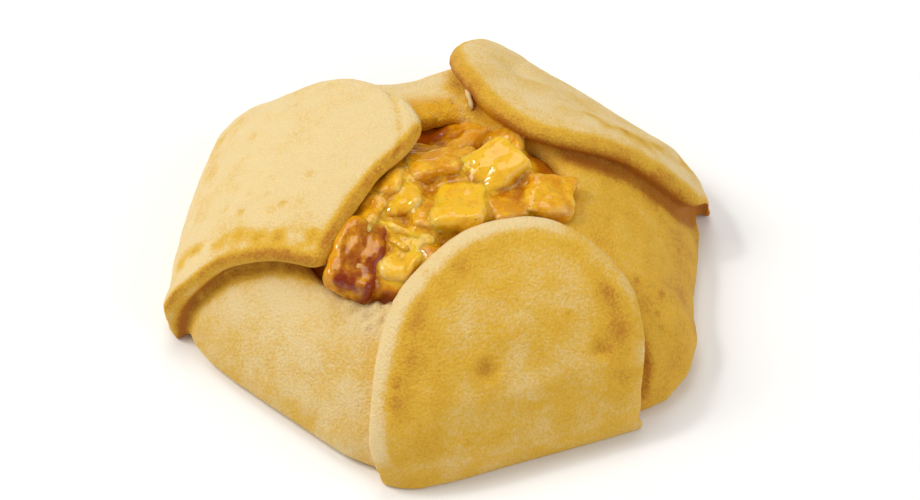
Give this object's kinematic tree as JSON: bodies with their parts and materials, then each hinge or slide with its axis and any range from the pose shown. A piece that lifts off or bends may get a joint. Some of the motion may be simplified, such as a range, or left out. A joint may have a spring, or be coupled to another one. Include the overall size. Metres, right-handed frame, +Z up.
{
  "type": "mini apple pie",
  "caption": "Mini apple pie: a six-sided parcel of folded golden dough with rounded flaps over an open middle of glazed, caramelised apple pieces.",
  "frame": {"origin": "on the flat base, under the middle of the pie", "axes": "+Z up out of the opening, -Y towards the side of the front flap, +X towards the right wall"},
  "size_m": [0.0921, 0.082, 0.03],
  "materials": {
    "baked_dough": "matt, golden and cream baked dough",
    "glazed_apple": "wet, glossy amber glaze over apple pieces"
  },
  "bodies": {
    "root": {"crust": "baked_dough", "apple_filling": "glazed_apple"}
  },
  "joints": []
}
